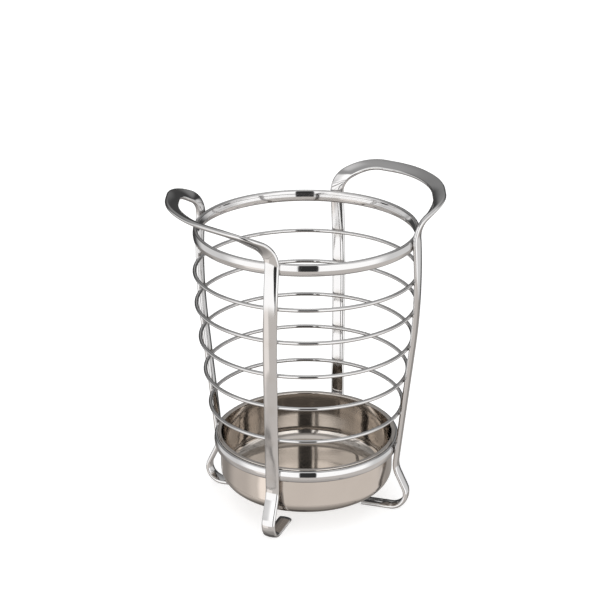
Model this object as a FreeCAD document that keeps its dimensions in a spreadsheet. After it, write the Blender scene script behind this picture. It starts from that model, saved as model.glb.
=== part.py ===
import FreeCAD, Part
import math
import os

import Sketcher
from FreeCAD import Vector

# Utensil holder: two bent bar frames carry a rim, five wire hoops and a base ring,
# and a pressed cup hangs in the base ring. Millimetres, +Z up. The origin is on the
# basket's axis at the height of the table, and the two handles point along +X and -X.

os.makedirs("parts", exist_ok=True)
doc = FreeCAD.newDocument("utensil_holder")

# Driving dimensions. Heights are above the table, radii are from the basket's axis.
DIMENSIONS = [
    ("rim_height", 184.0, "middle of the rim"),
    ("ring_height", 43.4, "middle of the base ring"),
    ("ring_outer_radius", 59.5, "outside of the base ring, where the legs touch it"),
    ("basket_slope", 0.118, "how far the basket widens for each mm of height"),
    ("bulge_start", 115.0, "height where the side starts to curve back in"),
    ("bulge_radius", 395.0, "radius of that curve"),
    ("band_height", 7.6, "height of the rim's and base ring's flat oval section"),
    ("band_thickness", 3.3, "thickness of that section"),
    ("hoop_wire", 2.4, "diameter of the hoops' round wire"),
    ("weld_bite", 0.12, "how far a weld sinks a ring into a leg"),
    ("hoop_height_1", 159.2, "top hoop"),
    ("hoop_height_2", 137.9, ""),
    ("hoop_height_3", 115.1, ""),
    ("hoop_height_4", 92.8, ""),
    ("hoop_height_5", 69.4, "bottom hoop"),
    ("bar_width", 8.8, "width of the frames' flat oval bar"),
    ("bar_thickness", 3.5, "thickness of that bar"),
    ("guide_gap", 2.5, "distance from the bar's middle line to the wire that guides its faces"),
    ("rim_leg_angle", 47.5, "degrees from the handle's middle to a leg, at the rim"),
    ("foot_leg_angle", 43.2, "the same angle at the feet"),
    ("foot_tip_radius", 34.0, "inner end of the foot"),
    ("foot_bend_radius_out", 73.0, "where the foot and the leg would meet if not rounded"),
    ("foot_bend", 10.0, "bend from foot to leg"),
    ("ankle_height", 30.0, "kink above the foot"),
    ("ankle_bend", 17.0, "bend at that kink"),
    ("shoulder_height", 195.4, "where the leg bends out into the handle"),
    ("shoulder_bend", 14.0, ""),
    ("corner_out", 67.8, "corner of the handle, measured along +X"),
    ("corner_side", 46.7, "the same point, measured along Y"),
    ("corner_height", 205.6, ""),
    ("corner_bend", 26.0, ""),
    ("grip_out", 83.6, "end of the handle's long run"),
    ("grip_side", 15.6, ""),
    ("grip_height", 206.8, ""),
    ("grip_bend", 60.0, ""),
    ("corner_tilt", 30.0, "degrees that the bar's outer edge is raised at the corner"),
    ("grip_tilt", 25.0, "the same along the handle's long run"),
    ("cup_radius", 55.6, "outside of the cup's wall"),
    ("cup_bottom", 13.6, "underside of the cup"),
    ("cup_wall", 0.8, "sheet thickness"),
    ("cup_corner", 9.5, "outer radius between floor and wall"),
    ("lip_radius", 57.7, "edge of the lip that rests on the base ring"),
    ("lip_gap", 0.05, "clearance under the lip"),
]

sheet = doc.addObject("Spreadsheet::Sheet", "dims")
for row, (alias, value, note) in enumerate(DIMENSIONS, start=1):
    sheet.set("A%d" % row, alias)
    sheet.set("B%d" % row, str(value))
    sheet.set("C%d" % row, note)
    sheet.setAlias("B%d" % row, alias)
doc.recompute()

# How many guide gaps the guide wire's bend radius is larger than the bar's. It is 1 where the
# bar's outer face is outside the bend and -1 where it is inside. At the handle the face turns
# between two bends, and these values keep the wire's arcs apart.
GUIDE_STEPS = {"foot": 1, "ankle": -1, "bulge": 1, "shoulder": -2.5, "corner": 0.5, "grip": 0.4}

pieces = {}


def size(alias):
    """Value of one named cell."""
    return float(sheet.get(alias))


def side_expression(height):
    """Expression for the radius of the legs' inner faces at a height."""
    lean = "dims.ring_outer_radius + dims.basket_slope * (%s - dims.ring_height)" % height
    past = "max(0; %s - dims.bulge_start)" % height
    return "(%s - %s * %s / (2 * dims.bulge_radius))" % (lean, past, past)


def side_radius(height):
    """The same radius as a number."""
    past = max(0.0, height - size("bulge_start"))
    lean = size("ring_outer_radius") + size("basket_slope") * (height - size("ring_height"))
    return lean - past * past / (2 * size("bulge_radius"))


def origin_plane(body, role):
    """One of a body's own origin planes."""
    return [plane for plane in body.Origin.OriginFeatures if plane.Role == role][0]


def new_sketch(body, name):
    """Sketch on the body's vertical plane: sketch x is the radius, sketch y the height."""
    sketch = body.newObject("Sketcher::SketchObject", name)
    sketch.AttachmentSupport = [(origin_plane(body, "XZ_Plane"), "")]
    sketch.MapMode = "FlatFace"
    return sketch


def bind(sketch, constraint, expression):
    """Add a constraint and tie it to the sheet."""
    index = sketch.addConstraint(constraint)
    sketch.setExpression("Constraints[%d]" % index, expression)


def turn_profile(body, sketch, name, kind="PartDesign::Revolution"):
    """Turn a profile once round the basket's axis."""
    feature = body.newObject(kind, name)
    feature.Profile = sketch
    feature.ReferenceAxis = (sketch, ["V_Axis"])
    feature.Angle = 360
    body.Tip = feature
    return feature


def add_band(name, height):
    """A flat oval band, welded inside the legs at one height."""
    body = doc.addObject("PartDesign::Body", name)
    sketch = new_sketch(body, name + "_section")
    middle = side_radius(size(height)) - size("band_thickness") / 2
    half = size("band_thickness") / 2
    low = size(height) - (size("band_height") / 2 - half)
    high = size(height) + (size("band_height") / 2 - half)
    up = Vector(0, 0, 1)
    sketch.addGeometry(Part.LineSegment(Vector(middle + half, low, 0), Vector(middle + half, high, 0)))
    top = Part.Circle(Vector(middle, high, 0), up, half)
    sketch.addGeometry(Part.ArcOfCircle(top, 0, math.pi))
    sketch.addGeometry(Part.LineSegment(Vector(middle - half, high, 0), Vector(middle - half, low, 0)))
    bottom = Part.Circle(Vector(middle, low, 0), up, half)
    sketch.addGeometry(Part.ArcOfCircle(bottom, math.pi, 2 * math.pi))
    for first, second in ((0, 1), (1, 2), (2, 3), (3, 0)):
        sketch.addConstraint(Sketcher.Constraint("Tangent", first, 2, second, 1))
    sketch.addConstraint(Sketcher.Constraint("Vertical", 0))
    sketch.addConstraint(Sketcher.Constraint("Vertical", 1, 3, 3, 3))
    bind(sketch, Sketcher.Constraint("Radius", 1, half), "dims.band_thickness / 2")
    bind(sketch, Sketcher.Constraint("DistanceX", -1, 1, 1, 3, middle),
         side_expression("dims." + height) + " + dims.weld_bite - dims.band_thickness / 2")
    bind(sketch, Sketcher.Constraint("DistanceY", -1, 1, 3, 3, low),
         "dims.%s - (dims.band_height - dims.band_thickness) / 2" % height)
    bind(sketch, Sketcher.Constraint("DistanceY", 3, 3, 1, 3, high - low),
         "dims.band_height - dims.band_thickness")
    turn_profile(body, sketch, name + "_band")
    pieces[name] = body


def add_hoop(number):
    """One round wire hoop, welded inside the legs."""
    name = "hoop_%d" % number
    height = "dims.hoop_height_%d" % number
    hoop = doc.addObject("Part::Torus", name)
    hoop.setExpression("Radius2", "dims.hoop_wire / 2")
    hoop.setExpression("Radius1", side_expression(height) + " + dims.weld_bite - dims.hoop_wire / 2")
    hoop.setExpression("Placement.Base.z", height)
    pieces[name] = hoop


def add_cup():
    """Pressed cup: a round dish with a rounded floor corner and a narrow lip."""
    body = doc.addObject("PartDesign::Body", "cup")
    wall, corner = size("cup_radius"), size("cup_corner")
    floor, sheet_metal = size("cup_bottom"), size("cup_wall")
    lip, under_lip = size("lip_radius"), size("ring_height") + size("band_height") / 2
    outside = new_sketch(body, "cup_outside")
    outline = [(0, floor), (wall - corner, floor), (wall, floor + corner), (wall, under_lip),
               (lip, under_lip), (lip, under_lip + sheet_metal), (0, under_lip + sheet_metal)]
    draw_dish(outside, outline, Vector(wall - corner, floor + corner, 0), corner)
    bind(outside, Sketcher.Constraint("Radius", 1, corner), "dims.cup_corner")
    bind(outside, Sketcher.Constraint("DistanceY", -1, 1, 0, 1, floor), "dims.cup_bottom")
    bind(outside, Sketcher.Constraint("DistanceX", -1, 1, 2, 2, wall), "dims.cup_radius")
    bind(outside, Sketcher.Constraint("DistanceX", -1, 1, 3, 2, lip), "dims.lip_radius")
    bind(outside, Sketcher.Constraint("DistanceY", -1, 1, 2, 2, under_lip),
         "dims.ring_height + dims.band_height / 2 + dims.lip_gap")
    bind(outside, Sketcher.Constraint("DistanceY", 4, 1, 4, 2, sheet_metal), "dims.cup_wall")
    turn_profile(body, outside, "cup_blank")
    inside = new_sketch(body, "cup_inside")
    inner, bend = wall - sheet_metal, corner - sheet_metal
    top = under_lip + 2 * sheet_metal
    outline = [(0, floor + sheet_metal), (inner - bend, floor + sheet_metal),
               (inner, floor + corner), (inner, top), (0, top)]
    draw_dish(inside, outline, Vector(inner - bend, floor + corner, 0), bend)
    bind(inside, Sketcher.Constraint("Radius", 1, bend), "dims.cup_corner - dims.cup_wall")
    bind(inside, Sketcher.Constraint("DistanceY", -1, 1, 0, 1, floor + sheet_metal),
         "dims.cup_bottom + dims.cup_wall")
    bind(inside, Sketcher.Constraint("DistanceX", -1, 1, 2, 2, inner), "dims.cup_radius - dims.cup_wall")
    bind(inside, Sketcher.Constraint("DistanceY", -1, 1, 2, 2, top),
         "dims.ring_height + dims.band_height / 2 + 2 * dims.cup_wall")
    turn_profile(body, inside, "cup_hollow", "PartDesign::Groove")
    pieces["cup"] = body


def draw_dish(sketch, outline, centre, corner):
    """Closed half profile: floor, rounded corner, then straight lines back to the axis."""
    points = [Vector(x, y, 0) for x, y in outline]
    sketch.addGeometry(Part.LineSegment(points[0], points[1]))
    circle = Part.Circle(centre, Vector(0, 0, 1), corner)
    sketch.addGeometry(Part.ArcOfCircle(circle, 1.5 * math.pi, 2 * math.pi))
    for start, end in zip(points[2:], points[3:] + points[:1]):
        sketch.addGeometry(Part.LineSegment(start, end))
    sketch.addConstraint(Sketcher.Constraint("Tangent", 0, 2, 1, 1))
    sketch.addConstraint(Sketcher.Constraint("Tangent", 1, 2, 2, 1))
    last = len(points) - 1
    for first in range(2, last):
        sketch.addConstraint(Sketcher.Constraint("Coincident", first, 2, first + 1, 1))
    sketch.addConstraint(Sketcher.Constraint("Coincident", last, 2, 0, 1))
    sketch.addConstraint(Sketcher.Constraint("PointOnObject", 0, 1, -2))
    sketch.addConstraint(Sketcher.Constraint("PointOnObject", last, 1, -2))
    sketch.addConstraint(Sketcher.Constraint("Horizontal", 0))
    for line in range(2, last):
        sketch.addConstraint(Sketcher.Constraint("Vertical" if line % 2 == 0 else "Horizontal", line))


def bent_wire(corners):
    """Wire through the corners (point, bend radius), with an arc at each one but the ends."""
    edges = []
    start = corners[0][0]
    for before, (point, radius), after in zip(corners, corners[1:], corners[2:]):
        back = (before[0] - point).normalize()
        ahead = (after[0] - point).normalize()
        half_turn = (math.pi - back.getAngle(ahead)) / 2
        reach = radius * math.tan(half_turn)
        first, last = point + back * reach, point + ahead * reach
        bisector = (back + ahead).normalize()
        middle = point + bisector * (radius / math.cos(half_turn) - radius)
        if (first - start).dot(point - start) <= 0:
            raise ValueError("two bends overlap near %s" % point)
        edges.append(Part.makeLine(start, first))
        edges.append(Part.Arc(first, middle, last).toShape())
        start = last
    edges.append(Part.makeLine(start, corners[-1][0]))
    return Part.Wire(edges)


def polar(radius, degrees, height):
    """Point at a radius and angle round the basket's axis."""
    angle = math.radians(degrees)
    return Vector(radius * math.cos(angle), radius * math.sin(angle), height)


def leg_angle(height):
    """The legs spread a little from feet to rim."""
    share = (height - size("ankle_height")) / (size("rim_height") - size("ankle_height"))
    return size("foot_leg_angle") + share * (size("rim_leg_angle") - size("foot_leg_angle"))


def tilted(degrees, tilt):
    """Normal of the bar's outer face on the handle, where its outer edge is raised."""
    return polar(math.sin(math.radians(tilt)), degrees, -math.cos(math.radians(tilt)))


def square_to(start, end):
    """Direction, in degrees from +X, that is square to a run and away from the basket."""
    return math.degrees(math.atan2(end.x - start.x, start.y - end.y))


def frame_corners():
    """Half of a frame, foot to handle: name, point, bend radius and the bar's outer normal."""
    half = size("bar_thickness") / 2
    foot, rim = size("foot_leg_angle"), size("rim_leg_angle")
    ankle, top = size("ankle_height"), size("shoulder_height")
    bulge = (size("bulge_start") + size("rim_height")) / 2
    bulge_radius = size("ring_outer_radius") + size("basket_slope") * (bulge - size("ring_height"))
    top_slope = size("basket_slope") - (size("rim_height") - size("bulge_start")) / size("bulge_radius")
    shoulder = polar(bulge_radius + top_slope * (top - bulge) + half, leg_angle(top), top)
    corner = Vector(size("corner_out"), size("corner_side"), size("corner_height"))
    grip = Vector(size("grip_out"), size("grip_side"), size("grip_height"))
    arm_side, run_side = square_to(shoulder, corner), square_to(corner, grip)
    under_foot = Vector(0, 0, -1)
    foot_side = (polar(1, foot, 0) + under_foot).normalize()
    shoulder_side = (polar(1, rim, 0) + tilted(arm_side, size("corner_tilt"))).normalize()
    tip_radius = size("foot_tip_radius") + size("bar_width") / 2
    return [
        ("tip", polar(tip_radius, foot, half), 0, under_foot),
        ("foot", polar(size("foot_bend_radius_out"), foot, half), size("foot_bend"), foot_side),
        ("ankle", polar(side_radius(ankle) + half, leg_angle(ankle), ankle), size("ankle_bend"),
         polar(1, foot, 0)),
        ("bulge", polar(bulge_radius + half, leg_angle(bulge), bulge), size("bulge_radius"),
         polar(1, leg_angle(bulge), 0)),
        ("shoulder", shoulder, size("shoulder_bend"), shoulder_side),
        ("corner", corner, size("corner_bend"),
         tilted((arm_side + run_side) / 2, size("corner_tilt"))),
        ("grip", grip, size("grip_bend"), tilted(run_side / 2, size("grip_tilt"))),
    ]


def oval_section(centre, along, normal):
    """Flat oval outline of the bar: two straight sides with round ends."""
    across = along.cross(normal)
    half = size("bar_thickness") / 2
    flat = size("bar_width") / 2 - half
    left, right = centre - across * flat, centre + across * flat
    top_left, top_right = left + normal * half, right + normal * half
    low_left, low_right = left - normal * half, right - normal * half
    return Part.Wire([
        Part.makeLine(top_left, top_right),
        Part.Arc(top_right, right + across * half, low_right).toShape(),
        Part.makeLine(low_right, low_left),
        Part.Arc(low_left, left - across * half, top_left).toShape(),
    ])


def mirrored(direction):
    """The same point or direction on the frame's other leg."""
    return Vector(direction.x, -direction.y, direction.z)


def frame_shape(half_way):
    """The whole frame on the +X side, swept along its bends from foot to foot."""
    corners = half_way + [(name, mirrored(point), radius, mirrored(normal))
                          for name, point, radius, normal in reversed(half_way)]
    gap = size("guide_gap")
    spine = bent_wire([(point, radius) for name, point, radius, normal in corners])
    guide = bent_wire([(point + normal * gap, radius + GUIDE_STEPS.get(name, 0) * gap)
                       for name, point, radius, normal in corners])
    start, along, outer = end_of_foot(corners)
    pipe = Part.BRepOffsetAPI.MakePipeShell(spine)
    pipe.setAuxiliarySpine(guide, False, 0)
    pipe.add(oval_section(start, along, outer), False, False)
    pipe.build()
    pipe.makeSolid()
    return pipe.shape()


def end_of_foot(corners):
    """Point, direction and outer normal where a frame starts."""
    start, following = corners[0], corners[1]
    return start[1], (following[1] - start[1]).normalize(), start[3]


def foot_tip(corners):
    """Rounded end of a foot: the bar's section turned about the end's upright axis."""
    centre, along, outer = end_of_foot(corners)
    up = Vector(0, 0, size("bar_thickness") / 2)
    across = Vector(-along.y, along.x, 0)
    flat = across * (size("bar_width") / 2 - up.z)
    half_section = Part.Wire([
        Part.makeLine(centre - up, centre - up + flat),
        Part.Arc(centre - up + flat, centre + flat + across * up.z, centre + up + flat).toShape(),
        Part.makeLine(centre + up + flat, centre + up),
        Part.makeLine(centre + up, centre - up),
    ])
    return Part.Face(half_section).revolve(centre, Vector(0, 0, 1), 180)


def add_frames():
    """Two equal frames, the second one turned half round the basket's axis."""
    corners = frame_corners()
    tip = foot_tip(corners)
    other_tip = tip.mirror(Vector(0, 0, 0), Vector(0, 1, 0))
    shape = frame_shape(corners).fuse([tip, other_tip]).removeSplitter()
    for name, turned in (("right_frame", 0), ("left_frame", 180)):
        frame = doc.addObject("Part::Feature", name)
        frame.Shape = shape
        frame.Placement = FreeCAD.Placement(Vector(0, 0, 0), FreeCAD.Rotation(Vector(0, 0, 1), turned))
        pieces[name] = frame


def check_and_write():
    """Stop at the first failed object, then write one file for each piece."""
    doc.recompute()
    for item in doc.Objects:
        if "Invalid" in item.State or "Error" in item.State:
            raise RuntimeError("%s failed: %s" % (item.Name, item.State))
    for name, item in pieces.items():
        item.Label = name
        shape = item.Shape
        if shape.isNull() or not shape.isValid() or len(shape.Solids) != 1:
            raise RuntimeError("%s has no single valid solid" % name)
        shape.exportStep("parts/%s.step" % name)
        box = shape.BoundBox
        print("%-12s %9.1f mm3  x %.1f %.1f  y %.1f %.1f  z %.2f %.2f" % (
            name, shape.Volume, box.XMin, box.XMax, box.YMin, box.YMax, box.ZMin, box.ZMax))


add_frames()
add_band("top_rim", "rim_height")
add_band("base_ring", "ring_height")
for hoop_number in range(1, 6):
    add_hoop(hoop_number)
add_cup()
check_and_write()
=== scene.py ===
import math

import bmesh
import bpy
from bpy.props import FloatProperty, FloatVectorProperty, IntProperty, PointerProperty
from bpy.types import Operator, Panel, PropertyGroup
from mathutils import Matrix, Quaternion, Vector


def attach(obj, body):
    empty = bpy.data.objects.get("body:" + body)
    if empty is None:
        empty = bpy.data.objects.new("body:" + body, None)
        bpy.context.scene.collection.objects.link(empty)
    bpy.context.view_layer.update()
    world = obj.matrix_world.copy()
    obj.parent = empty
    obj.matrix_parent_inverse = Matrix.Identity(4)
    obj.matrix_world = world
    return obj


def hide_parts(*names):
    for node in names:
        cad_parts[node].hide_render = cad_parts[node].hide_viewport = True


bl_info = {
    "name": "Utensil Holder",
    "version": (1, 0, 0),
    "blender": (4, 5, 0),
    "location": "View3D > Sidebar > Utensil Holder",
    "description": "Builds a wire utensil holder with a lift-out cup around its packed frame",
    "category": "Add Mesh",
}

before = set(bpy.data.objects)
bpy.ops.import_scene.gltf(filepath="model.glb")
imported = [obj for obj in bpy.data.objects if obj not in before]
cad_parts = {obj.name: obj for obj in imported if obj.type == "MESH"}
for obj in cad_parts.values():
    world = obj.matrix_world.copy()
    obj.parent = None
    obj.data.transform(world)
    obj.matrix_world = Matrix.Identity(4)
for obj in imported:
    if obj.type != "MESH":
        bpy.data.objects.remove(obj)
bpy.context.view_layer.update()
MM = 0.001
UP = Vector((0, 0, 1))
WHITE = (1, 1, 1)


# Properties. Lengths are written in millimetres and kept in metres.


def length(name, millimetres, description):
    return FloatProperty(name=name, description=description, default=millimetres * MM,
                         unit="LENGTH", subtype="DISTANCE", precision=5)


def lengths(name, millimetres, description):
    return FloatVectorProperty(name=name, description=description, size=len(millimetres),
                               default=[value * MM for value in millimetres],
                               unit="LENGTH", subtype="XYZ_LENGTH")


def angle(name, degrees, description):
    return FloatProperty(name=name, description=description, default=math.radians(degrees),
                         subtype="ANGLE")


def colour(name, value, description):
    return FloatVectorProperty(name=name, description=description, default=value, size=3,
                               subtype="COLOR", min=0, max=1)


def factor(name, value, description):
    return FloatProperty(name=name, description=description, default=value, subtype="FACTOR",
                         min=0, max=1)


def number(name, value, description):
    return FloatProperty(name=name, description=description, default=value)


class BasketSizes(PropertyGroup):
    """The rings that make the basket's side."""

    rim_height: length("Rim height", 184.0, "Height of the rim's middle")
    ring_height: length("Base ring height", 43.4, "Height of the base ring's middle")
    ring_radius: length("Base ring radius", 59.5, "Radius inside the legs at the base ring")
    slope: number("Side slope", 0.118, "How far the side widens for each metre of height")
    bulge_start: length("Bulge start", 115.0, "Height where the side starts to curve back in")
    bulge_radius: length("Bulge radius", 395.0, "Radius of that curve")
    band_height: length("Band height", 7.6, "Height of the rim's and base ring's section")
    band_thickness: length("Band thickness", 3.3, "Thickness of that section")
    band_crown: length("Band crown", 0.35, "How far that section's faces are domed")
    wire: length("Hoop wire", 2.4, "Diameter of the hoops' wire")
    bite: length("Weld bite", 0.12, "How far the rings sink into the legs")
    hoop_heights: lengths("Hoop heights", (159.2, 137.9, 115.1, 92.8, 69.4),
                          "Heights of the hoops, from the top one down")
    steps: IntProperty(name="Steps", description="Segments of a full ring", default=192, min=24)


class FrameSizes(PropertyGroup):
    """The two bent bars that carry the basket."""

    width: length("Bar width", 8.8, "Width of the flat oval bar")
    thickness: length("Bar thickness", 3.5, "Thickness of the bar")
    crown: length("Crown", 0.32, "How far the bar's broad faces are domed")
    rim_angle: angle("Leg angle at the rim", 47.5, "From the handle's middle to a leg")
    foot_angle: angle("Leg angle at the feet", 43.2, "The same angle at the feet")
    tip_radius: length("Foot end", 34.0, "Inner end of a foot")
    foot_out: length("Foot corner", 73.0, "Where the foot and the leg meet")
    foot_bend: length("Foot bend", 10.0, "Bend from foot to leg")
    ankle_height: length("Ankle height", 30.0, "Kink above the foot")
    ankle_bend: length("Ankle bend", 17.0, "Bend at that kink")
    shoulder_height: length("Shoulder height", 195.4, "Where the leg bends out to the handle")
    shoulder_bend: length("Shoulder bend", 14.0, "Bend at the shoulder")
    corner: lengths("Handle corner", (67.8, 46.7, 205.6), "Bend on each side of the handle")
    corner_bend: length("Corner bend", 26.0, "Bend at the handle's corner")
    corner_tilt: angle("Corner tilt", 30.0, "How far the bar's outer edge is raised there")
    grip: lengths("Handle grip", (83.6, 15.6, 206.8), "End of the handle's long run")
    grip_bend: length("Grip bend", 60.0, "Bend at the end of the long run")
    grip_tilt: angle("Grip tilt", 25.0, "How far the outer edge is raised there")


class CupSizes(PropertyGroup):
    """The pressed cup that hangs in the base ring."""

    radius: length("Wall radius", 55.6, "Outside of the cup's wall")
    bottom: length("Bottom height", 13.6, "Height of its underside")
    sheet: length("Sheet", 0.8, "Thickness of the metal")
    corner: length("Corner", 9.5, "Outer radius between floor and wall")
    lip: length("Lip radius", 57.7, "Edge of the lip")
    gap: length("Lip gap", 0.05, "Clearance between the lip and the base ring")
    mouth: length("Mouth", 0.9, "Rounding from the lip's top to the inside of the wall")
    fillet: length("Fillet", 0.35, "Rounding under the lip, where it meets the wall")


class BeadSizes(PropertyGroup):
    """The weld beads between rings and legs."""

    band_rise: factor("Rise on a band", 0.42, "Half height of a bead, as a share of the band's")
    band_width: factor("Width on a band", 0.40, "Half width of a bead, as a share of the bar's")
    wire_rise: factor("Rise on a wire", 0.62, "Half height of a bead, as a share of the wire's")
    wire_width: factor("Width on a wire", 0.34, "Half width of a bead, as a share of the bar's")
    depth: length("Bead depth", 0.75, "Half depth of a bead")
    inset: length("Bead inset", 0.25, "How far a bead's middle lies inside the leg's face")
    lump: factor("Lumps", 0.08, "How uneven a bead is")


class Finish(PropertyGroup):
    """Colours and roughness of the metal."""

    chrome: colour("Chrome", (0.62, 0.612, 0.61), "Plating on the frames, rim and hoops")
    steel: colour("Cup", (0.70, 0.65, 0.605), "Polished sheet of the cup")
    # Cup inside: a darker colour that the points inside the cup take.
    inside: colour("Cup inside", (0.54, 0.50, 0.46), "Duller metal inside the cup")
    tarnish: colour("Weld tint", (0.50, 0.46, 0.42), "Plating next to the welds")
    tint: factor("Tint strength", 0.55, "How much of the weld tint shows at a weld")
    gloss: factor("Roughness", 0.045, "Roughness of clean plating")
    haze: factor("Haze", 0.06, "Added roughness in the plating's smudges")
    scorch: factor("Weld haze", 0.10, "Added roughness at a weld")
    cup_gloss: factor("Cup roughness", 0.05, "Roughness of the clean cup")
    cup_haze: factor("Cup haze", 0.05, "Added roughness in the cup's smudges")


class Studio(PropertyGroup):
    """Camera, floor and light."""

    camera: lengths("Camera", (-436.6, -887.2, 538.5), "Where the camera stands")
    target: lengths("Target", (0.0, 0.0, 137.8), "Point that the camera looks at")
    lens: number("Lens", 102.0, "Focal length in millimetres on a 36 mm frame")
    shift: number("Shift", -0.0107, "Sideways shift of the lens")
    floor: colour("Floor", (0.75, 0.75, 0.75), "Colour of the floor")
    table: colour("Table", (1.0, 0.945, 0.90), "Colour that the metal reflects from below")
    boxes: number("Soft boxes", 1.5, "Brightness beside the camera")
    overhead: number("Overhead", 0.4, "Brightness straight above")
    sun: number("Lamp", 0.4, "Strength of the overhead lamp")
    glow: number("Glow", 0.6, "Light that the floor itself gives")


# Node trees.


class Socket:
    """A socket of a node tree. Python's operators on it add Math nodes to the tree."""

    def __init__(self, tree, socket=None):
        self.tree = tree
        self.socket = socket

    def node(self, kind, settings=None, inputs=None, output=0):
        """Add a node, set its settings first, then the values or links of its sockets."""
        node = self.tree.nodes.new(kind)
        for key, value in (settings or {}).items():
            setattr(node, key, value)
        for key, value in (inputs or {}).items():
            if isinstance(value, Socket):
                self.tree.links.new(value.socket, node.inputs[key])
            else:
                node.inputs[key].default_value = value
        return Socket(self.tree, node.outputs[output] if node.outputs else None)

    def maths(self, operation, first, second=0.0):
        """Add a Math node."""
        return self.node("ShaderNodeMath", {"operation": operation}, {0: first, 1: second})

    def __add__(self, other):
        return self.maths("ADD", self, other)

    __radd__ = __add__

    def __sub__(self, other):
        return self.maths("SUBTRACT", self, other)

    def __rsub__(self, other):
        return self.maths("SUBTRACT", other, self)

    def __mul__(self, other):
        return self.maths("MULTIPLY", self, other)

    __rmul__ = __mul__

    def __abs__(self):
        return self.maths("ABSOLUTE", self)

    def mix(self, first, second):
        """Blend two colours by this value. Sockets 0, 6 and 7 are the value and the colours."""
        return self.node("ShaderNodeMix", {"data_type": "RGBA"},
                         {0: self, 6: first, 7: second}, output=2)

    def tint(self, shade):
        """A colour with this value's brightness."""
        return self.node("ShaderNodeVectorMath", {"operation": "SCALE"}, {0: shade, "Scale": self})

    def smooth(self, low, high):
        """Soft step of this value: 0 below low and 1 above high."""
        return self.node("ShaderNodeMapRange", {"interpolation_type": "SMOOTHSTEP"},
                         {"Value": self, "From Min": low, "From Max": high})


def new_material(name):
    """An empty material, and the tree that its nodes go into."""
    material = bpy.data.materials.new(name)
    material.use_nodes = True
    material.node_tree.nodes.clear()
    return material, Socket(material.node_tree)


def noise(vector, scale, detail):
    return vector.node("ShaderNodeTexNoise",
                       inputs={"Vector": vector, "Scale": scale, "Detail": detail})


def fine_lines(tree, stretch, detail):
    """Noise that is drawn out along a piece, in its UV map."""
    along = tree.node("ShaderNodeUVMap", {"uv_map": "along"})
    drawn = tree.node("ShaderNodeMapping", inputs={"Vector": along, "Scale": (*stretch, 1.0)})
    return noise(drawn, scale=1.0, detail=detail)


def stored(tree, name):
    """A number stored on the points of a mesh."""
    return tree.node("ShaderNodeAttribute", {"attribute_name": name}, output="Fac")


def metal_shader(tree, base, roughness, height, depth):
    """Metal: what varies goes to its colour, roughness and bump, which is depth metres deep."""
    bump = tree.node("ShaderNodeBump",
                     inputs={"Strength": 1.0, "Distance": depth, "Height": height})
    shader = tree.node("ShaderNodeBsdfPrincipled",
                       inputs={"Base Color": base, "Roughness": roughness, "Metallic": 1.0,
                               "Normal": bump})
    tree.node("ShaderNodeOutputMaterial", inputs={"Surface": shader})


# Unevenness of the metals: its depth, and the shares that soft waves and fine lines have in it.

PLATING_DEPTH = 0.06 * MM
PLATING_WAVES = 0.6
PLATING_LINES = 0.05
CUP_DEPTH = 0.08 * MM
CUP_WAVES = 0.5
CUP_LINES = 0.06

# What the cup's fine lines add to its roughness, and how far smudges and the inside darken its
# colour.

CUP_LINE_HAZE = 0.03
CUP_SMUDGE_TINT = 0.25
CUP_INSIDE_TINT = 0.75


def chrome_plating(finish):
    """Bright plating: soft smudges, faint draw lines along the wire, a dull tint at the welds."""
    material, tree = new_material("chrome_plating")
    place = tree.node("ShaderNodeTexCoord", output="Object")
    smudge = noise(place, scale=38.0, detail=4.0).smooth(0.45, 0.75)
    waves = noise(place, scale=60.0, detail=1.0)
    lines = fine_lines(tree, stretch=(2.0, 60.0), detail=3.0)
    heat = stored(tree, "weld").smooth(0.35, 1.0)
    base = (heat * finish.tint).mix((*finish.chrome, 1), (*finish.tarnish, 1))
    roughness = finish.gloss + finish.haze * smudge + finish.scorch * heat
    height = PLATING_WAVES * waves + PLATING_LINES * lines
    metal_shader(tree, base, roughness, height, PLATING_DEPTH)
    return material


def polished_steel(finish):
    """Cup metal: soft smudges, fine turning lines from polishing, a darker colour inside."""
    material, tree = new_material("polished_steel")
    place = tree.node("ShaderNodeTexCoord", output="Object")
    smudge = noise(place, scale=30.0, detail=4.0).smooth(0.4, 0.75)
    waves = noise(place, scale=40.0, detail=1.0)
    lines = fine_lines(tree, stretch=(3.0, 90.0), detail=4.0)
    darkening = smudge * CUP_SMUDGE_TINT + stored(tree, "inside") * CUP_INSIDE_TINT
    base = darkening.mix((*finish.steel, 1), (*finish.inside, 1))
    roughness = finish.cup_gloss + finish.cup_haze * smudge + CUP_LINE_HAZE * lines
    height = CUP_WAVES * waves + CUP_LINES * lines
    metal_shader(tree, base, roughness, height, CUP_DEPTH)
    return material


# Places and sections that several pieces share.


def polar(radius, turn, height):
    """Point or direction at a radius and a turn about the basket's axis."""
    return Vector((radius * math.cos(turn), radius * math.sin(turn), height))


def side_radius(basket, height):
    """Radius of the legs' inner faces at a height."""
    past = max(0.0, height - basket.bulge_start)
    lean = basket.ring_radius + basket.slope * (height - basket.ring_height)
    return lean - past * past / (2 * basket.bulge_radius)


def leg_angle(bar, basket, height):
    """The legs spread a little from feet to rim."""
    share = (height - bar.ankle_height) / (basket.rim_height - bar.ankle_height)
    return bar.foot_angle + share * (bar.rim_angle - bar.foot_angle)


def weld_spots(basket, bar):
    """Where each ring meets a leg: (point on the leg's inner face, outward direction)."""
    spots = []
    for height in [basket.rim_height, basket.ring_height, *basket.hoop_heights]:
        radius, turn = side_radius(basket, height), leg_angle(bar, basket, height)
        for side in (turn, math.pi - turn, math.pi + turn, -turn):
            out = polar(1, side, 0)
            spots.append((out * radius + UP * height, out))
    return spots


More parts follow.
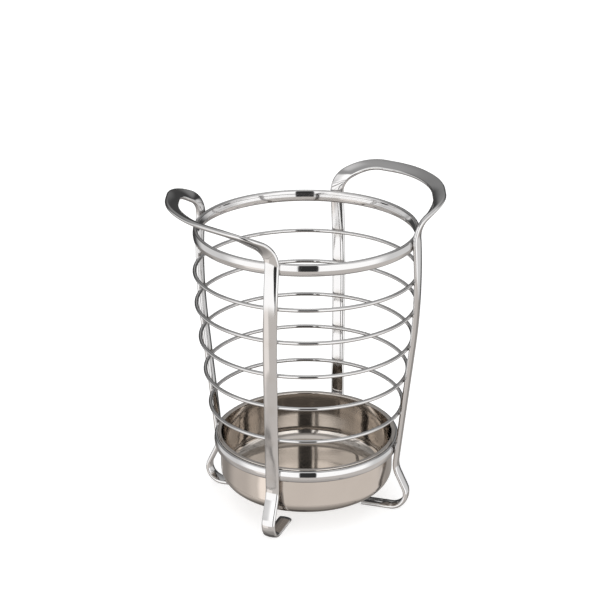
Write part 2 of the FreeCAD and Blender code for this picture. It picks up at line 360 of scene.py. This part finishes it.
def flat_oval(width, thickness, crown, face_steps=4, edge_steps=8):
    """Section outline, anticlockwise from the middle of the outer face, as (across, out)."""
    edge = thickness / 2 - crown
    flat = width / 2 - edge
    left = []
    for step in range(face_steps + 1):
        share = step / face_steps
        left.append((-flat * share, edge + crown * (1 - share * share)))
    for step in range(1, edge_steps + 1):
        turn = math.pi * step / edge_steps
        left.append((-flat - edge * math.sin(turn), edge * math.cos(turn)))
    left += [(x, -y) for x, y in reversed(left[1:face_steps])]
    left.append((0.0, -thickness / 2))
    return left + [(-x, y) for x, y in reversed(left[1:-1])]


def arc(radius, height, bend, first, last, steps):
    """Points of an arc in a half section, from one angle to another in degrees."""
    points = []
    for step in range(steps + 1):
        turn = math.radians(first + (last - first) * step / steps)
        points.append((radius + bend * math.cos(turn), height + bend * math.sin(turn)))
    return points


# Meshes and pieces.

UV_PER_METRE = 10


def skin(rows, closed, wrap=True):
    """Quads over rows of points. Their UV map follows the rows, and then each row's points."""
    shape = bmesh.new()
    layer = shape.loops.layers.uv.new("along")
    grid = [[shape.verts.new(point) for point in row] for row in rows]
    travel = [0.0]
    for before, after in zip(rows, rows[1:] + rows[:1]):
        travel.append(travel[-1] + (after[0] - before[0]).length)
    count = len(rows[0])
    for here in range(len(rows) if closed else len(rows) - 1):
        ahead = (here + 1) % len(rows)
        for spot in range(count if wrap else count - 1):
            beside = (spot + 1) % count
            corners = (grid[here][spot], grid[here][beside], grid[ahead][beside], grid[ahead][spot])
            face = shape.faces.new(corners)
            face.smooth = True
            places = ((here, spot), (here, spot + 1), (here + 1, spot + 1), (here + 1, spot))
            for loop, (row, point) in zip(face.loops, places):
                loop[layer].uv = (travel[row] * UV_PER_METRE, point / count)
    return shape, grid


def turned_rows(outline, steps):
    """A section (radius, height) turned once round the basket's axis."""
    turns = [2 * math.pi * step / steps for step in range(steps)]
    return [[polar(radius, turn, height) for radius, height in outline] for turn in turns]


def add_piece(name, shape, material, body, replaced=()):
    """Make a piece of a finished shape and hand it to the frame."""
    bmesh.ops.recalc_face_normals(shape, faces=shape.faces)
    mesh = bpy.data.meshes.new(name)
    shape.to_mesh(mesh)
    shape.free()
    mesh.materials.append(material)
    piece = bpy.data.objects.new(name, mesh)
    bpy.context.scene.collection.objects.link(piece)
    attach(piece, body)
    if replaced:
        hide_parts(*replaced)
    return piece


def add_plated(name, shape, scene, reach, replaced=()):
    """Add a plated piece of the stand, whose weld tint fades out at the reach from each weld."""
    material = bpy.data.materials.get("chrome_plating") or chrome_plating(scene.holder_finish)
    piece = add_piece(name, shape, material, "stand", replaced)
    spots = [spot for spot, out in weld_spots(scene.holder_basket, scene.holder_frames)]
    layer = piece.data.attributes.new("weld", "FLOAT", "POINT")
    for vertex, item in zip(piece.data.vertices, layer.data):
        nearest = min((vertex.co - spot).length for spot in spots)
        item.value = max(0.0, 1 - nearest / reach)


# How far the weld tint reaches on each kind of piece.

BAND_REACH = 9 * MM
WIRE_REACH = 7 * MM
BEAD_REACH = 12 * MM


# The bent frames. A bar has a section about every BAR_SPACING, and in a bend at least every
# BAR_TURN.

BAR_SPACING = 2.6 * MM
BAR_TURN = math.radians(5)
EASING_ROUNDS = 6
FOOT_STEPS = 14


def tilted(turn, tilt):
    """Normal of the bar's outer face on the handle, where its outer edge is raised."""
    return polar(math.sin(tilt), turn, -math.cos(tilt))


def square_to(start, end):
    """Direction square to a run and away from the basket, as an angle."""
    return math.atan2(end.x - start.x, start.y - end.y)


def flipped(vector, across, along):
    """The vector with its X and its Y each kept (1) or turned round (-1)."""
    return Vector((vector.x * across, vector.y * along, vector.z))


def frame_corners(bar, basket):
    """Half of a frame from foot to handle: point, bend radius, outer normal."""
    half = bar.thickness / 2
    foot, ankle, top = bar.foot_angle, bar.ankle_height, bar.shoulder_height
    bulge = (basket.bulge_start + basket.rim_height) / 2
    bulge_radius = basket.ring_radius + basket.slope * (bulge - basket.ring_height)
    bulge_turn, ankle_turn = leg_angle(bar, basket, bulge), leg_angle(bar, basket, ankle)
    top_slope = basket.slope - (basket.rim_height - basket.bulge_start) / basket.bulge_radius
    top_radius = bulge_radius + top_slope * (top - bulge)
    shoulder = polar(top_radius + half, leg_angle(bar, basket, top), top)
    corner, grip = Vector(bar.corner), Vector(bar.grip)
    arm, run = square_to(shoulder, corner), square_to(corner, grip)
    leg_face = polar(1, bar.rim_angle, 0)
    return [
        (polar(bar.tip_radius + bar.width / 2, foot, half), 0, -UP),
        (polar(bar.foot_out, foot, half), bar.foot_bend, (polar(1, foot, 0) - UP).normalized()),
        (polar(side_radius(basket, ankle) + half, ankle_turn, ankle), bar.ankle_bend,
         polar(1, foot, 0)),
        (polar(bulge_radius + half, bulge_turn, bulge), basket.bulge_radius,
         polar(1, bulge_turn, 0)),
        (shoulder, bar.shoulder_bend, (leg_face + tilted(arm, bar.corner_tilt)).normalized()),
        (corner, bar.corner_bend, tilted((arm + run) / 2, bar.corner_tilt)),
        (grip, bar.grip_bend, tilted(run / 2, bar.grip_tilt)),
    ]


def bent_path(corners):
    """Points along runs and arcs, each with its direction and the bar's outer normal."""
    path = []
    start, start_normal = corners[0][0], corners[0][2]
    for before, (point, radius, normal), after in zip(corners, corners[1:], corners[2:]):
        back, ahead = before[0] - point, after[0] - point
        bend = math.pi - back.angle(ahead)
        reach = radius * math.tan(bend / 2)
        first = point + back.normalized() * reach
        last = point + ahead.normalized() * reach
        first_normal = normal.lerp(before[2], reach / back.length)
        last_normal = normal.lerp(after[2], reach / ahead.length)
        run = first - start
        along = run.normalized()
        count = max(1, round(run.length / BAR_SPACING))
        for step in range(count):
            share = step / count
            path.append((start.lerp(first, share), along, start_normal.lerp(first_normal, share)))
        inward = (back.normalized() + ahead.normalized()).normalized()
        centre = point + inward * (radius / math.cos(bend / 2))
        arm = first - centre
        axis = arm.cross(run).normalized()
        count = max(2, math.ceil(bend / BAR_TURN), round(bend * radius / BAR_SPACING))
        for step in range(count):
            share = step / count
            turn = Quaternion(axis, bend * share)
            lean = (first_normal.lerp(normal, share * 2) if share < 0.5
                    else normal.lerp(last_normal, share * 2 - 1))
            path.append((centre + turn @ arm, turn @ along, lean))
        start, start_normal = last, last_normal
    return path


def eased(path):
    """Even out how the bar's faces turn, so that no line shows where a bend starts."""
    normals = [normal.normalized() for point, along, normal in path]
    for _ in range(EASING_ROUNDS):
        inner = [(before + 2 * here + after).normalized()
                 for before, here, after in zip(normals, normals[1:], normals[2:])]
        normals = [normals[0]] + inner + [normals[-1]]
    return [(point, along, normal) for (point, along, old), normal in zip(path, normals)]


def bar_rows(path, outline):
    """The section set square to the path at each of its points."""
    rows = []
    for point, along, normal in path:
        out = (normal - along * normal.dot(along)).normalized()
        across = along.cross(out)
        rows.append([point + across * x + out * y for x, y in outline])
    return rows


def close_foot(shape, row, centre, way):
    """Round end of a foot: half of the section turned about an upright axis, way 1 or -1."""
    half = len(row) // 2
    side = row[:half + 1]
    previous = side
    for step in range(1, FOOT_STEPS + 1):
        if step == FOOT_STEPS:
            following = [row[0], *reversed(row[half:])]
        else:
            turn = Quaternion(UP, way * math.pi * step / FOOT_STEPS)
            turned = [shape.verts.new(centre + turn @ (vertex.co - centre))
                      for vertex in side[1:half]]
            following = [side[0], *turned, side[half]]
        for index in range(half):
            corners = dict.fromkeys((previous[index], previous[index + 1],
                                     following[index + 1], following[index]))
            shape.faces.new(list(corners)).smooth = True
        previous = following


class HOLDER_OT_frames(Operator):
    """Sweep the two bent bars from foot to foot"""

    bl_idname = "holder.frames"
    bl_label = "Frames"

    def execute(self, context):
        scene, bar = context.scene, context.scene.holder_frames
        corners = frame_corners(bar, scene.holder_basket)
        corners += [(flipped(point, 1, -1), radius, flipped(normal, 1, -1))
                    for point, radius, normal in reversed(corners)]
        path = bent_path(corners)
        end, before = corners[-1][0], corners[-2][0]
        path.append((end, (end - before).normalized(), -UP))
        rows = bar_rows(eased(path), flat_oval(bar.width, bar.thickness, bar.crown))
        for name, side in (("right_frame", 1), ("left_frame", -1)):
            turned = [[flipped(point, side, side) for point in row] for row in rows]
            shape, grid = skin(turned, closed=False)
            for row, (place, *_), way in ((grid[0], path[0], 1), (grid[-1], path[-1], -1)):
                close_foot(shape, row, flipped(place, side, side), way)
            add_plated(name + "_bar", shape, scene, BAND_REACH, [name])
        return {"FINISHED"}


# The rings.

WIRE_SIDES = 20


class HOLDER_OT_rings(Operator):
    """Turn the rim and the base ring"""

    bl_idname = "holder.rings"
    bl_label = "Rim and base ring"

    def execute(self, context):
        basket = context.scene.holder_basket
        outline = flat_oval(basket.band_height, basket.band_thickness, basket.band_crown)
        for name, height in (("top_rim", basket.rim_height), ("base_ring", basket.ring_height)):
            middle = side_radius(basket, height) + basket.bite - basket.band_thickness / 2
            section = [(middle + out, height + across) for across, out in outline]
            shape, _ = skin(turned_rows(section, basket.steps), closed=True)
            add_plated(name + "_band", shape, context.scene, BAND_REACH, [name])
        return {"FINISHED"}


class HOLDER_OT_hoops(Operator):
    """Bend the five wire hoops"""

    bl_idname = "holder.hoops"
    bl_label = "Hoops"

    def execute(self, context):
        basket = context.scene.holder_basket
        half = basket.wire / 2
        turns = [2 * math.pi * step / WIRE_SIDES for step in range(WIRE_SIDES)]
        for hoop, height in enumerate(basket.hoop_heights, start=1):
            middle = side_radius(basket, height) + basket.bite - half
            section = [(middle + half * math.cos(turn), height + half * math.sin(turn))
                       for turn in turns]
            shape, _ = skin(turned_rows(section, basket.steps), closed=True)
            name = "hoop_%d" % hoop
            add_plated(name + "_wire", shape, context.scene, WIRE_REACH, [name])
        return {"FINISHED"}


# The weld beads. Their lumps are waves across and up a bead, shifted with its height so that
# beads differ.

LUMPS_ACROSS = 5
LUMPS_UP = 3
LUMP_SHIFT = 900


class HOLDER_OT_welds(Operator):
    """Lay the small weld beads where rings meet legs"""

    bl_idname = "holder.welds"
    bl_label = "Weld beads"

    def execute(self, context):
        scene = context.scene
        basket, bar, bead = scene.holder_basket, scene.holder_frames, scene.holder_beads
        shape = bmesh.new()
        for spot, out in weld_spots(basket, bar):
            on_band = min(abs(spot.z - basket.rim_height), abs(spot.z - basket.ring_height)) < MM
            rise = basket.band_height * bead.band_rise if on_band else basket.wire * bead.wire_rise
            width = bar.width * (bead.band_width if on_band else bead.wire_width)
            sideways = UP.cross(out)
            ball = bmesh.ops.create_uvsphere(shape, u_segments=20, v_segments=12, radius=1.0)
            for vertex in ball["verts"]:
                x, y, z = vertex.co
                wave = math.sin(LUMPS_ACROSS * x + LUMPS_UP * z + LUMP_SHIFT * spot.z)
                lump = 1 + bead.lump * wave
                vertex.co = (spot + sideways * x * width * lump
                             + out * (y * bead.depth - bead.inset) + UP * z * rise * lump)
        for face in shape.faces:
            face.smooth = True
        add_plated("weld_beads", shape, scene, BEAD_REACH)
        return {"FINISHED"}


# The cup. A small fan closes the middle of its floor, whose rings of points have these radii, and
# its wall has a ring at this height above the corner. The margin is how far past the wall's inner
# face a point still counts as inside.

FLOOR_RINGS = (0.4 * MM, 12 * MM, 30 * MM)
WALL_RING = 8 * MM
INSIDE_MARGIN = 0.2 * MM
CORNER_STEPS = 14
FILLET_STEPS = 4
LIP_STEPS = 8
MOUTH_STEPS = 6


def cup_outline(cup, basket):
    """Half section of the sheet, from under the floor over the lip to the floor's upper face."""
    under_lip = basket.ring_height + basket.band_height / 2 + cup.gap
    top = under_lip + cup.sheet
    half, inner, bend = cup.sheet / 2, cup.radius - cup.sheet, cup.corner - cup.sheet
    corner_height = cup.bottom + cup.corner
    wall_height = corner_height + WALL_RING
    under = [(radius, cup.bottom) for radius in FLOOR_RINGS]
    under += arc(cup.radius - cup.corner, corner_height, cup.corner, -90, 0, CORNER_STEPS)
    under.append((cup.radius, wall_height))
    under += arc(cup.radius + cup.fillet, under_lip - cup.fillet, cup.fillet, 180, 90, FILLET_STEPS)
    lip = arc(cup.lip - half, under_lip + half, half, -90, 90, LIP_STEPS)
    over = arc(inner + cup.mouth, top - cup.mouth, cup.mouth, 90, 180, MOUTH_STEPS)
    over.append((inner, wall_height))
    over += arc(inner - bend, corner_height, bend, 0, -90, CORNER_STEPS)
    over += [(radius, cup.bottom + cup.sheet) for radius in reversed(FLOOR_RINGS)]
    return under + lip + over


class HOLDER_OT_cup(Operator):
    """Press the cup from sheet, with its rounded corner and narrow lip"""

    bl_idname = "holder.cup"
    bl_label = "Cup"

    def execute(self, context):
        cup, basket = context.scene.holder_cup, context.scene.holder_basket
        rows = turned_rows(cup_outline(cup, basket), basket.steps)
        shape, grid = skin(rows, closed=True, wrap=False)
        for ring, height in ((0, cup.bottom), (-1, cup.bottom + cup.sheet)):
            centre = shape.verts.new((0, 0, height))
            for row, following in zip(grid, grid[1:] + grid[:1]):
                shape.faces.new((row[ring], following[ring], centre)).smooth = True
        material = polished_steel(context.scene.holder_finish)
        piece = add_piece("cup_shell", shape, material, "cup", ["cup"])
        self.mark_inside(piece.data, cup)
        return {"FINISHED"}

    def mark_inside(self, mesh, cup):
        """Store 1 on the points inside the cup and 0 on the others."""
        reach, floor = cup.radius - cup.sheet + INSIDE_MARGIN, cup.bottom + cup.sheet / 2
        inside = mesh.attributes.new("inside", "FLOAT", "POINT")
        for vertex, item in zip(mesh.vertices, inside.data):
            item.value = float(vertex.co.xy.length < reach and vertex.co.z > floor)


# Surroundings that the metal reflects. A bearing is the turn from the camera's side, in radians
# and positive to the camera's right. A height is the sine of the angle above the horizon. Each
# pair gives where a soft step starts and ends. First comes the height of the table's far edge.

TABLE_EDGE = (-0.41, -0.375)

# The dark gap between the soft boxes, where the camera stands.

GAP_BEARING = 0.03
GAP_SIDES = (0.16, 0.19)
GAP_TOP = (0.6, 0.8)
GAP_DEPTH = 0.97

# The soft boxes reach less far round above the horizon, and fade towards their ends.

BOX_NARROWING = 0.75
BOX_NARROWING_HEIGHTS = (-0.05, 0.25)
BOX_FADE = 0.42
BOX_FADE_BEARINGS = (1.2, 1.6)
BOX_ENDS = (2.15, 2.6)
BOX_TOPS = (0.55, 0.70)

# The room's own light, with more from high on its walls, from its ceiling and straight above.

ROOM_LIGHT = 0.07
WALL_LIGHT = 0.24
WALL_HEIGHTS = (0.16, 0.40)
CEILING_LIGHT = 0.16
CEILING_HEIGHTS = (0.45, 0.80)
OVERHEAD_HEIGHTS = (0.80, 0.95)

# The table, and how much darker it is straight below, to the left and behind.

TABLE_LIGHT = 0.78
UNDER_SHADE = 0.38
UNDER_HEIGHTS = (-0.95, -0.65)
LEFT_SHADE = 0.15
LEFT_BEARINGS = (-1.6, -1.3)
BACK_SHADE = 0.52
BACK_BEARINGS = (1.9, 2.4)

# A bright patch on the table, to the left.

PATCH_LIGHT = 0.45
PATCH_HEIGHTS = (-0.60, -0.57)
PATCH_LEFT = (-1.25, -1.1)
PATCH_RIGHT = (-0.72, -0.64)

# A dark line across the table, a little lower towards the right.

LINE_HEIGHT = 0.694
LINE_SLOPE = 0.078
LINE_SIDES = (0.002, 0.006)
LINE_LIGHT = 0.30


# Floor, lamp and camera.

FLOOR_SIZE = 5.0
FLOOR_GRAIN = 0.03
FLOOR_GRAIN_SHADE = 0.9
LAMP_SPREAD = math.radians(120)
CAMERA_FRAME = 36.0


class HOLDER_OT_stage(Operator):
    """Lay the floor, light the surroundings and set the camera"""

    bl_idname = "holder.stage"
    bl_label = "Stage"

    def execute(self, context):
        scene, studio = context.scene, context.scene.holder_studio
        self.lay_floor(scene, studio)
        self.light_surroundings(scene, studio)
        self.add_lamp(scene, studio)
        self.set_camera(scene, studio)
        return {"FINISHED"}

    def lay_floor(self, scene, studio):
        """A plain pale floor, which the metal doesn't reflect."""
        material, tree = new_material("pale_floor")
        grain = noise(tree.node("ShaderNodeTexCoord", output="Object"), scale=90.0, detail=3.0)
        darker = [FLOOR_GRAIN_SHADE * value for value in studio.floor]
        shade = (grain * FLOOR_GRAIN).mix((*studio.floor, 1), (*darker, 1))
        shader = tree.node("ShaderNodeBsdfPrincipled",
                           inputs={"Base Color": shade, "Roughness": 0.8, "Specular IOR Level": 0.1,
                                   "Emission Color": (*WHITE, 1), "Emission Strength": studio.glow})
        tree.node("ShaderNodeOutputMaterial", inputs={"Surface": shader})
        shape = bmesh.new()
        bmesh.ops.create_grid(shape, x_segments=8, y_segments=8, size=FLOOR_SIZE)
        mesh = bpy.data.meshes.new("floor")
        shape.to_mesh(mesh)
        shape.free()
        mesh.materials.append(material)
        floor = bpy.data.objects.new("floor", mesh)
        scene.collection.objects.link(floor)
        floor.visible_glossy = False

    def light_surroundings(self, scene, studio):
        """World light: the room and its soft boxes down to the table's edge, the table below."""
        scene.world = bpy.data.worlds.new("tent")
        scene.world.use_nodes = True
        scene.world.node_tree.nodes.clear()
        tree = Socket(scene.world.node_tree)
        direction = tree.node("ShaderNodeTexCoord", output="Generated")
        x, y, height = [tree.node("ShaderNodeSeparateXYZ", inputs={0: direction}, output=axis)
                        for axis in ("X", "Y", "Z")]
        ahead = Vector(studio.camera).xy.normalized()
        bearing = tree.maths("ARCTAN2", x * -ahead.y + y * ahead.x, x * ahead.x + y * ahead.y)
        room = self.room_light(bearing, height, studio).tint(WHITE)
        table = self.table_light(bearing, height).tint(studio.table)
        shade = height.smooth(*TABLE_EDGE).mix(table, room)
        background = tree.node("ShaderNodeBackground", inputs={"Color": shade, "Strength": 1.0})
        tree.node("ShaderNodeOutputWorld", inputs={"Surface": background})

    def room_light(self, bearing, height, studio):
        """Soft boxes on the camera's side with a dark gap between them, in a dim room."""
        gap = 1 - abs(bearing - GAP_BEARING).smooth(*GAP_SIDES)
        turned = abs(bearing) + BOX_NARROWING * height.smooth(*BOX_NARROWING_HEIGHTS)
        faded = 1 - BOX_FADE * turned.smooth(*BOX_FADE_BEARINGS)
        boxes = faded * (1 - turned.smooth(*BOX_ENDS)) * (1 - height.smooth(*BOX_TOPS))
        room = ROOM_LIGHT + WALL_LIGHT * height.smooth(*WALL_HEIGHTS)
        room = room + CEILING_LIGHT * height.smooth(*CEILING_HEIGHTS)
        overhead = height.smooth(*OVERHEAD_HEIGHTS) * studio.overhead
        gap = GAP_DEPTH * gap * (1 - height.smooth(*GAP_TOP))
        return (room + boxes * studio.boxes + overhead) * (1 - gap)

    def table_light(self, bearing, height):
        """A table that is darker below, to the left and behind, with a bright patch and a line."""
        under = UNDER_SHADE * (1 - height.smooth(*UNDER_HEIGHTS))
        left = LEFT_SHADE * (1 - bearing.smooth(*LEFT_BEARINGS))
        behind = 1 - BACK_SHADE * abs(bearing).smooth(*BACK_BEARINGS)
        patch = bearing.smooth(*PATCH_LEFT) * (1 - bearing.smooth(*PATCH_RIGHT))
        patch = PATCH_LIGHT * height.smooth(*PATCH_HEIGHTS) * patch
        beside = abs(height + LINE_HEIGHT + LINE_SLOPE * bearing).smooth(*LINE_SIDES)
        line = LINE_LIGHT + (1 - LINE_LIGHT) * beside
        return (TABLE_LIGHT - under - left + patch) * behind * line

    def add_lamp(self, scene, studio):
        """One wide lamp overhead, which lights the floor evenly."""
        light = bpy.data.lights.new("overhead", "SUN")
        light.angle, light.energy = LAMP_SPREAD, studio.sun
        lamp = bpy.data.objects.new("overhead", light)
        lamp.visible_glossy = False
        scene.collection.objects.link(lamp)

    def set_camera(self, scene, studio):
        """Set the camera at the photograph's viewing angle."""
        lens = bpy.data.cameras.new("camera")
        lens.lens, lens.sensor_width, lens.shift_x = studio.lens, CAMERA_FRAME, studio.shift
        camera = bpy.data.objects.new("camera", lens)
        camera.location = studio.camera
        aim = Vector(studio.target) - Vector(studio.camera)
        camera.rotation_euler = aim.to_track_quat("-Z", "Y").to_euler()
        scene.collection.objects.link(camera)
        scene.camera = camera
        scene.view_settings.view_transform = "Standard"


class HOLDER_PT_panel(Panel):
    """Lists the holder's operators in the sidebar"""

    bl_label = "Utensil Holder"
    bl_idname = "HOLDER_PT_panel"
    bl_space_type = "VIEW_3D"
    bl_region_type = "UI"
    bl_category = "Utensil Holder"

    def draw(self, context):
        for operator in OPERATORS:
            self.layout.operator(operator.bl_idname)


GROUPS = {"holder_basket": BasketSizes, "holder_frames": FrameSizes, "holder_cup": CupSizes,
          "holder_beads": BeadSizes, "holder_finish": Finish, "holder_studio": Studio}
OPERATORS = (HOLDER_OT_frames, HOLDER_OT_rings, HOLDER_OT_hoops, HOLDER_OT_welds, HOLDER_OT_cup,
             HOLDER_OT_stage)


def register():
    for item in (*GROUPS.values(), *OPERATORS, HOLDER_PT_panel):
        bpy.utils.register_class(item)
    for name, group in GROUPS.items():
        setattr(bpy.types.Scene, name, PointerProperty(type=group))


def unregister():
    for name in GROUPS:
        delattr(bpy.types.Scene, name)
    for item in (HOLDER_PT_panel, *reversed(OPERATORS), *GROUPS.values()):
        bpy.utils.unregister_class(item)


def main():
    register()
    bpy.ops.holder.frames()
    bpy.ops.holder.rings()
    bpy.ops.holder.hoops()
    bpy.ops.holder.welds()
    bpy.ops.holder.cup()
    bpy.ops.holder.stage()


if __name__ == "__main__":
    main()
